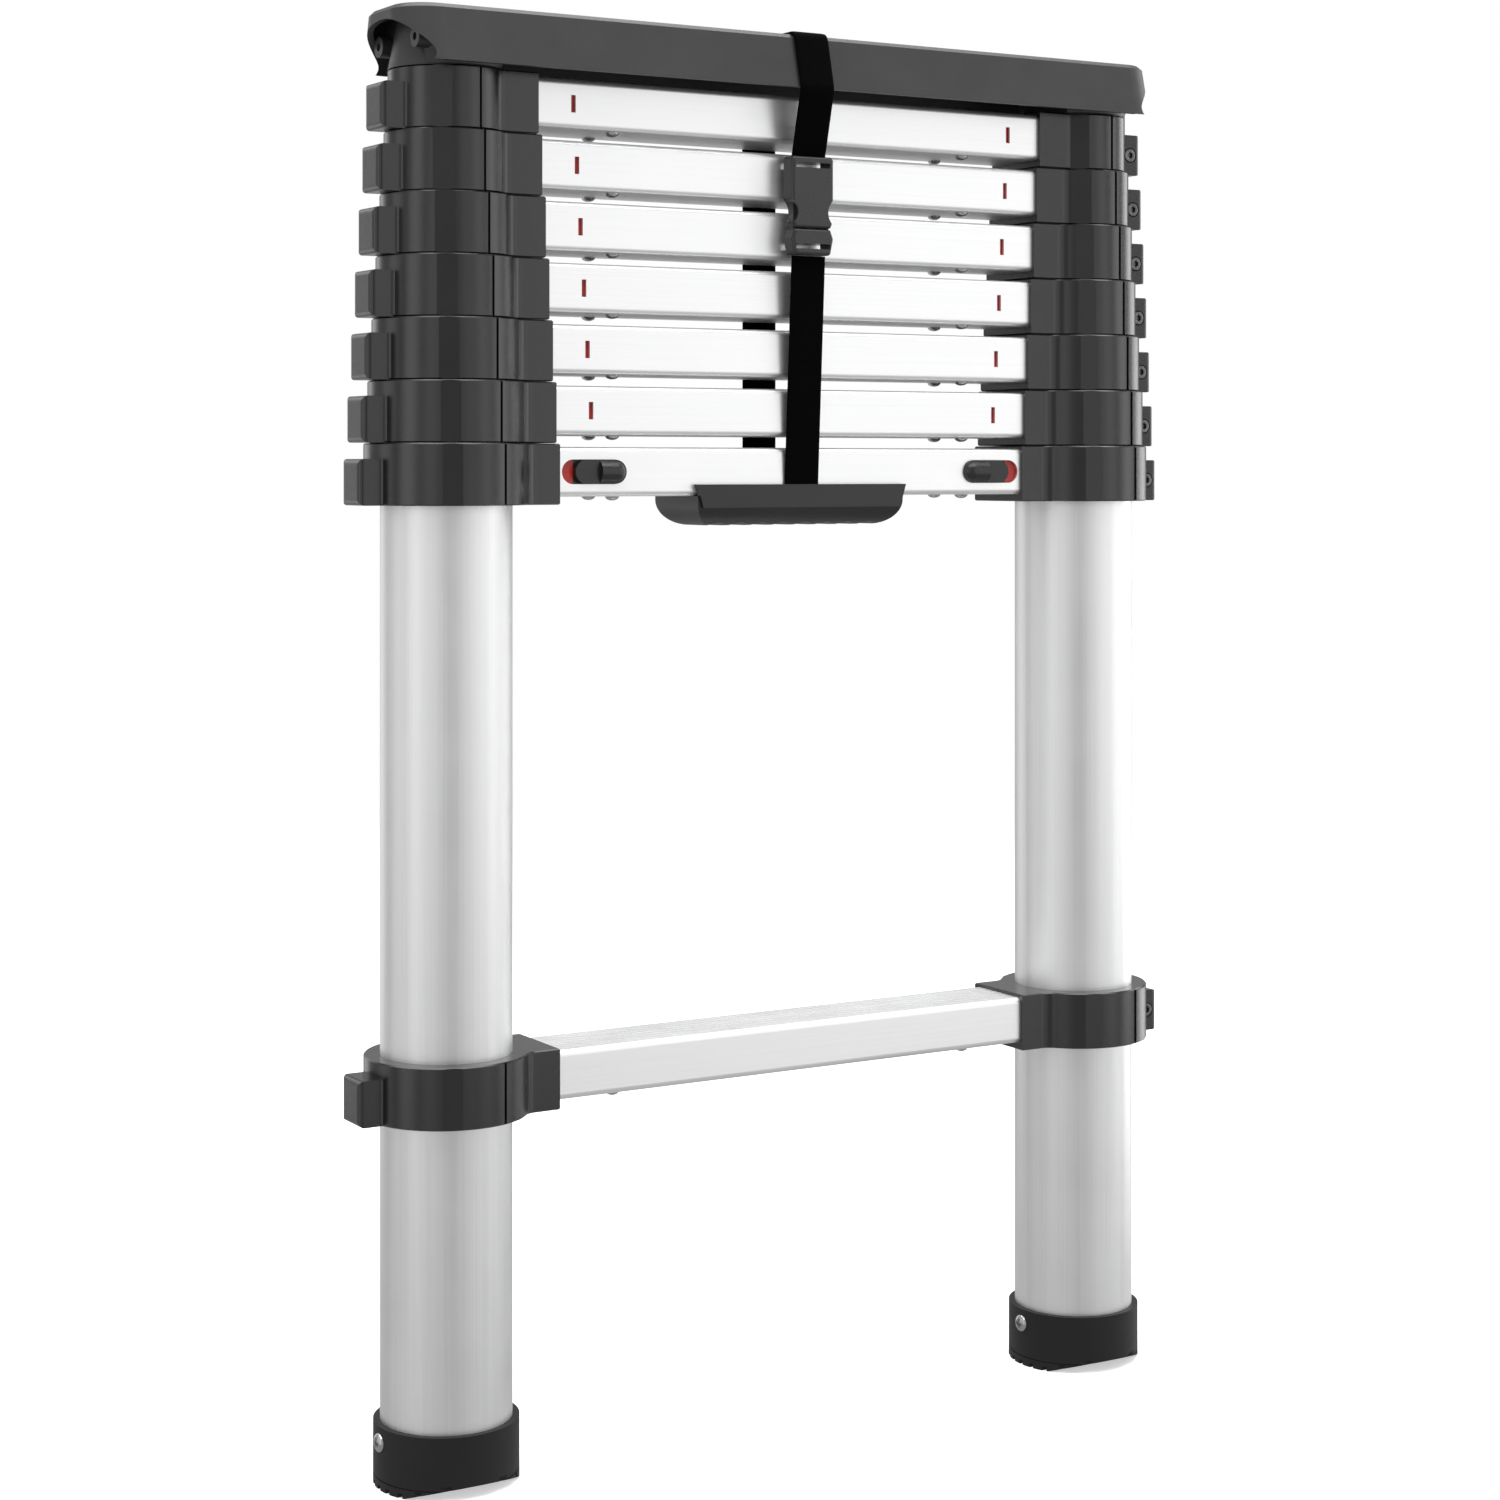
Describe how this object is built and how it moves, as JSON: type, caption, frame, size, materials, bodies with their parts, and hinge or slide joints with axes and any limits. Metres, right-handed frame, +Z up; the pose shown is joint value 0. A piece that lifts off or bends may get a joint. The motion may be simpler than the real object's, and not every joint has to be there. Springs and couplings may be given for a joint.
{
  "type": "telescoping ladder",
  "caption": "Stowed telescoping ladder: nested round aluminium stiles, a stack of hollow rungs in moulded collars, thumb locks, carry handle, strap and top cap.",
  "frame": {"origin": "on the floor under the ladder, midway between the two stiles and midway through its depth", "axes": "+Z up along the stiles, +X along the rungs towards the right stile seen from the front, -Y towards the climber"},
  "size_m": [0.4818, 0.0804, 0.7157],
  "materials": {
    "stile_tube": "satin anodised",
    "rung": "satin anodised, bright",
    "collar": "moulded satin",
    "glide_bush": "moulded",
    "lock_pin": "moulded",
    "thumb_button": "moulded, slightly glossy",
    "foot": "moulded rubber",
    "top_cap": "moulded satin",
    "carry_handle": "moulded satin",
    "webbing": "woven webbing",
    "buckle": "moulded"
  },
  "bodies": {
    "section_1": {"stile_tubes_1": "stile_tube", "rung_1": "rung", "rung_2": "rung", "collar_1_left": "collar", "collar_1_right": "collar", "collar_2_left": "collar", "collar_2_right": "collar", "foot_left": "foot", "foot_right": "foot", "carry_handle": "carry_handle"},
    "section_2": {"stile_tubes_2": "stile_tube", "glide_bushes_2": "glide_bush", "rung_3": "rung", "collar_3_left": "collar", "collar_3_right": "collar"},
    "section_3": {"stile_tubes_3": "stile_tube", "glide_bushes_3": "glide_bush", "rung_4": "rung", "collar_4_left": "collar", "collar_4_right": "collar"},
    "section_4": {"stile_tubes_4": "stile_tube", "glide_bushes_4": "glide_bush", "rung_5": "rung", "collar_5_left": "collar", "collar_5_right": "collar"},
    "section_5": {"stile_tubes_5": "stile_tube", "glide_bushes_5": "glide_bush", "rung_6": "rung", "collar_6_left": "collar", "collar_6_right": "collar"},
    "section_6": {"stile_tubes_6": "stile_tube", "glide_bushes_6": "glide_bush", "rung_7": "rung", "collar_7_left": "collar", "collar_7_right": "collar"},
    "section_7": {"stile_tubes_7": "stile_tube", "glide_bushes_7": "glide_bush", "rung_8": "rung", "collar_8_left": "collar", "collar_8_right": "collar"},
    "section_8": {"stile_tubes_8": "stile_tube", "glide_bushes_8": "glide_bush", "top_cap": "top_cap", "strap_webbing": "webbing", "buckle_plug": "buckle", "buckle_socket": "buckle"},
    "thumb_left": {"thumb_button_left": "thumb_button"},
    "thumb_right": {"thumb_button_right": "thumb_button"},
    "lock_3_left": {"lock_pin_3_left": "lock_pin"},
    "lock_3_right": {"lock_pin_3_right": "lock_pin"},
    "lock_4_left": {"lock_pin_4_left": "lock_pin"},
    "lock_4_right": {"lock_pin_4_right": "lock_pin"},
    "lock_5_left": {"lock_pin_5_left": "lock_pin"},
    "lock_5_right": {"lock_pin_5_right": "lock_pin"},
    "lock_6_left": {"lock_pin_6_left": "lock_pin"},
    "lock_6_right": {"lock_pin_6_right": "lock_pin"},
    "lock_7_left": {"lock_pin_7_left": "lock_pin"},
    "lock_7_right": {"lock_pin_7_right": "lock_pin"},
    "lock_8_left": {"lock_pin_8_left": "lock_pin"},
    "lock_8_right": {"lock_pin_8_right": "lock_pin"}
  },
  "joints": [
    {"name": "section_2_slide", "type": "slide", "parent": "section_1", "child": "section_2", "axis": [0, 0, 1], "range_m": [0, 0.2664], "deforming": ["strap_webbing"]},
    {"name": "section_3_slide", "type": "slide", "parent": "section_2", "child": "section_3", "axis": [0, 0, 1], "range_m": [0, 0.2664], "deforming": ["strap_webbing"]},
    {"name": "section_4_slide", "type": "slide", "parent": "section_3", "child": "section_4", "axis": [0, 0, 1], "range_m": [0, 0.2664], "deforming": ["strap_webbing"]},
    {"name": "section_5_slide", "type": "slide", "parent": "section_4", "child": "section_5", "axis": [0, 0, 1], "range_m": [0, 0.2664], "deforming": ["strap_webbing"]},
    {"name": "section_6_slide", "type": "slide", "parent": "section_5", "child": "section_6", "axis": [0, 0, 1], "range_m": [0, 0.2664], "deforming": ["strap_webbing"]},
    {"name": "section_7_slide", "type": "slide", "parent": "section_6", "child": "section_7", "axis": [0, 0, 1], "range_m": [0, 0.2664], "deforming": ["strap_webbing"]},
    {"name": "section_8_slide", "type": "slide", "parent": "section_7", "child": "section_8", "axis": [0, 0, 1], "range_m": [0, 0.2664], "deforming": ["strap_webbing"]},
    {"name": "thumb_left_slide", "type": "slide", "parent": "section_1", "child": "thumb_left", "axis": [-1, 0, 0], "range_m": [0, 0.007]},
    {"name": "thumb_right_slide", "type": "slide", "parent": "section_1", "child": "thumb_right", "axis": [1, 0, 0], "range_m": [0, 0.007]},
    {"name": "lock_3_left_slide", "type": "slide", "parent": "section_2", "child": "lock_3_left", "axis": [-1, 0, 0], "range_m": [0, 0.007]},
    {"name": "lock_3_right_slide", "type": "slide", "parent": "section_2", "child": "lock_3_right", "axis": [1, 0, 0], "range_m": [0, 0.007]},
    {"name": "lock_4_left_slide", "type": "slide", "parent": "section_3", "child": "lock_4_left", "axis": [-1, 0, 0], "range_m": [0, 0.007]},
    {"name": "lock_4_right_slide", "type": "slide", "parent": "section_3", "child": "lock_4_right", "axis": [1, 0, 0], "range_m": [0, 0.007]},
    {"name": "lock_5_left_slide", "type": "slide", "parent": "section_4", "child": "lock_5_left", "axis": [-1, 0, 0], "range_m": [0, 0.007]},
    {"name": "lock_5_right_slide", "type": "slide", "parent": "section_4", "child": "lock_5_right", "axis": [1, 0, 0], "range_m": [0, 0.007]},
    {"name": "lock_6_left_slide", "type": "slide", "parent": "section_5", "child": "lock_6_left", "axis": [-1, 0, 0], "range_m": [0, 0.007]},
    {"name": "lock_6_right_slide", "type": "slide", "parent": "section_5", "child": "lock_6_right", "axis": [1, 0, 0], "range_m": [0, 0.007]},
    {"name": "lock_7_left_slide", "type": "slide", "parent": "section_6", "child": "lock_7_left", "axis": [-1, 0, 0], "range_m": [0, 0.007]},
    {"name": "lock_7_right_slide", "type": "slide", "parent": "section_6", "child": "lock_7_right", "axis": [1, 0, 0], "range_m": [0, 0.007]},
    {"name": "lock_8_left_slide", "type": "slide", "parent": "section_7", "child": "lock_8_left", "axis": [-1, 0, 0], "range_m": [0, 0.007]},
    {"name": "lock_8_right_slide", "type": "slide", "parent": "section_7", "child": "lock_8_right", "axis": [1, 0, 0], "range_m": [0, 0.007]}
  ]
}
